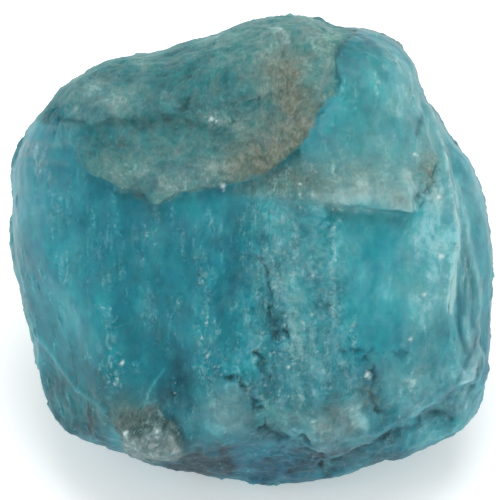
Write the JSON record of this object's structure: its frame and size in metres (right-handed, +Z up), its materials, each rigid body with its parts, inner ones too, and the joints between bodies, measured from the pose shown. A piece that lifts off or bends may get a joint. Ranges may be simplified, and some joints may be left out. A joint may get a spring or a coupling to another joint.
{
  "type": "raw aquamarine",
  "caption": "Rough, opaque blue-green beryl stone with a fluted broad face, a pale crust on its upper left, stepped slabs on its right and a small flat face to rest on.",
  "frame": {"origin": "on the resting face, straight below the middle of the stone", "axes": "+Z up; +X along the stone's width, to the right as the broad face is seen; the broad face leans back and looks up and towards -Y"},
  "size_m": [0.0379, 0.0324, 0.0312],
  "materials": {
    "beryl": "rough, cloudy blue-green with a waxy sheen, grey-green crust and small mica glints"
  },
  "bodies": {
    "root": {"aquamarine": "beryl"}
  },
  "joints": []
}
